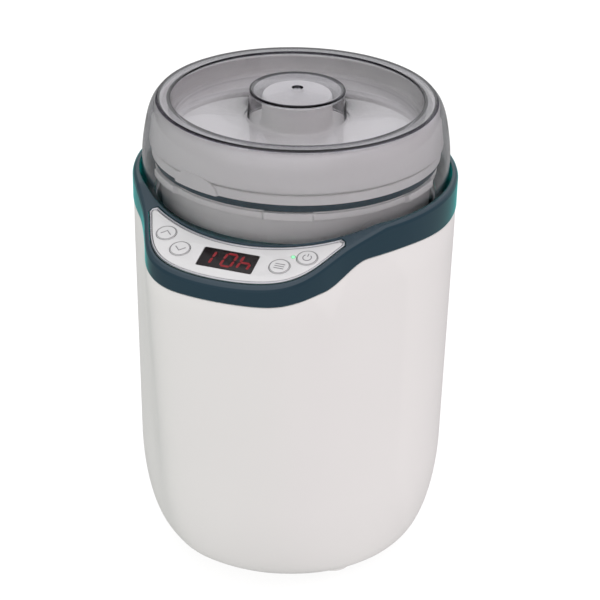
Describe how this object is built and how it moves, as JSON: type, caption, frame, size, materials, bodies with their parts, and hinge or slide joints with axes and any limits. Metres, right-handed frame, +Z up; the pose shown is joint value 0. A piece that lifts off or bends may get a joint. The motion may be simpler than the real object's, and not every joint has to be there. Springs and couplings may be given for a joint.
{
  "type": "yogurt maker",
  "caption": "Countertop yogurt maker: round shell with tilted control panel on a front chin, heated well, lift-out container with sealed cap, clear domed lid.",
  "frame": {"origin": "centre of the footprint's bounding box, on the surface it stands on", "axes": "+Z up along the container, -Y towards the control panel, +X to the right for someone facing the panel"},
  "size_m": [0.172, 0.1997, 0.2634],
  "materials": {
    "shell_plastic": "satin off-white",
    "collar_plastic": "semi-gloss dark teal",
    "fascia_plastic": "satin white with grey printing",
    "bezel_metal": "polished silver trim",
    "display_lens": "dark smoked gloss",
    "indicator": "translucent green",
    "lid_clear": "clear smoky plastic",
    "cap_plastic": "satin light grey",
    "container_plastic": "satin natural white",
    "seal_rubber": "matt teal silicone",
    "well_aluminium": "drawn satin",
    "dark_rubber": "matt",
    "felt": "soft insulation felt",
    "circuit_board": "satin green solder mask",
    "component_black": "matt black",
    "component_white": "matt white",
    "steel": "zinc plated",
    "wire_red": "matt red insulation",
    "wire_grey": "matt pale insulation"
  },
  "bodies": {
    "housing": {"outer_shell": "shell_plastic", "cord_gland": "dark_rubber", "base_plate": "shell_plastic", "base_screw_1": "steel", "base_screw_2": "steel", "base_screw_3": "steel", "base_screw_4": "steel", "foot_front_right": "shell_plastic", "foot_pad_front_right": "dark_rubber", "foot_rear_right": "shell_plastic", "foot_pad_rear_right": "dark_rubber", "foot_rear_left": "shell_plastic", "foot_pad_rear_left": "dark_rubber", "foot_front_left": "shell_plastic", "foot_pad_front_left": "dark_rubber", "collar": "collar_plastic", "panel_bezel": "bezel_metal", "fascia": "fascia_plastic", "display_window": "display_lens", "status_light_pipe": "indicator", "tact_switch_up": "component_black", "tact_switch_down": "component_black", "tact_switch_set": "component_black", "tact_switch_power": "component_black", "control_board": "circuit_board", "board_screw_1": "steel", "board_screw_2": "steel", "display_module": "component_black", "status_led": "indicator", "buzzer": "component_black", "inner_well": "well_aluminium", "heater_band": "dark_rubber", "insulation_sleeve": "felt", "heater_plate": "well_aluminium", "temperature_sensor": "steel", "thermal_cutout": "component_black", "power_board": "circuit_board", "transformer": "component_black", "relay": "component_white", "terminal_block": "circuit_board", "fuse": "component_white", "ribbon_connector": "component_white", "ribbon_cable": "wire_grey", "heater_lead_live": "wire_red", "heater_lead_neutral": "wire_grey", "mains_lead_live": "wire_red", "mains_lead_neutral": "wire_grey"},
    "container": {"container": "container_plastic"},
    "inner_cap": {"inner_cap": "cap_plastic", "seal_ring": "seal_rubber"},
    "outer_lid": {"outer_lid": "lid_clear"},
    "button_up": {"button_up": "fascia_plastic"},
    "button_down": {"button_down": "fascia_plastic"},
    "button_set": {"button_set": "fascia_plastic"},
    "button_power": {"button_power": "fascia_plastic"}
  },
  "joints": [
    {"name": "container_lift", "type": "slide", "parent": "housing", "child": "container", "axis": [0, 0, 1], "range_m": [0, 0.19]},
    {"name": "cap_lift", "type": "slide", "parent": "container", "child": "inner_cap", "axis": [0, 0, 1], "range_m": [0, 0.06]},
    {"name": "lid_lift", "type": "slide", "parent": "inner_cap", "child": "outer_lid", "axis": [0, 0, 1], "range_m": [0, 0.08]},
    {"name": "up_press", "type": "slide", "parent": "housing", "child": "button_up", "axis": [0, 0.281, -0.9597], "range_m": [0, 0.0005], "stiffness_N_per_m": 900, "springref_m": -0.0008},
    {"name": "down_press", "type": "slide", "parent": "housing", "child": "button_down", "axis": [0, 0.281, -0.9597], "range_m": [0, 0.0005], "stiffness_N_per_m": 900, "springref_m": -0.0008},
    {"name": "set_press", "type": "slide", "parent": "housing", "child": "button_set", "axis": [0, 0.281, -0.9597], "range_m": [0, 0.0005], "stiffness_N_per_m": 900, "springref_m": -0.0008},
    {"name": "power_press", "type": "slide", "parent": "housing", "child": "button_power", "axis": [0, 0.281, -0.9597], "range_m": [0, 0.0005], "stiffness_N_per_m": 900, "springref_m": -0.0008}
  ]
}
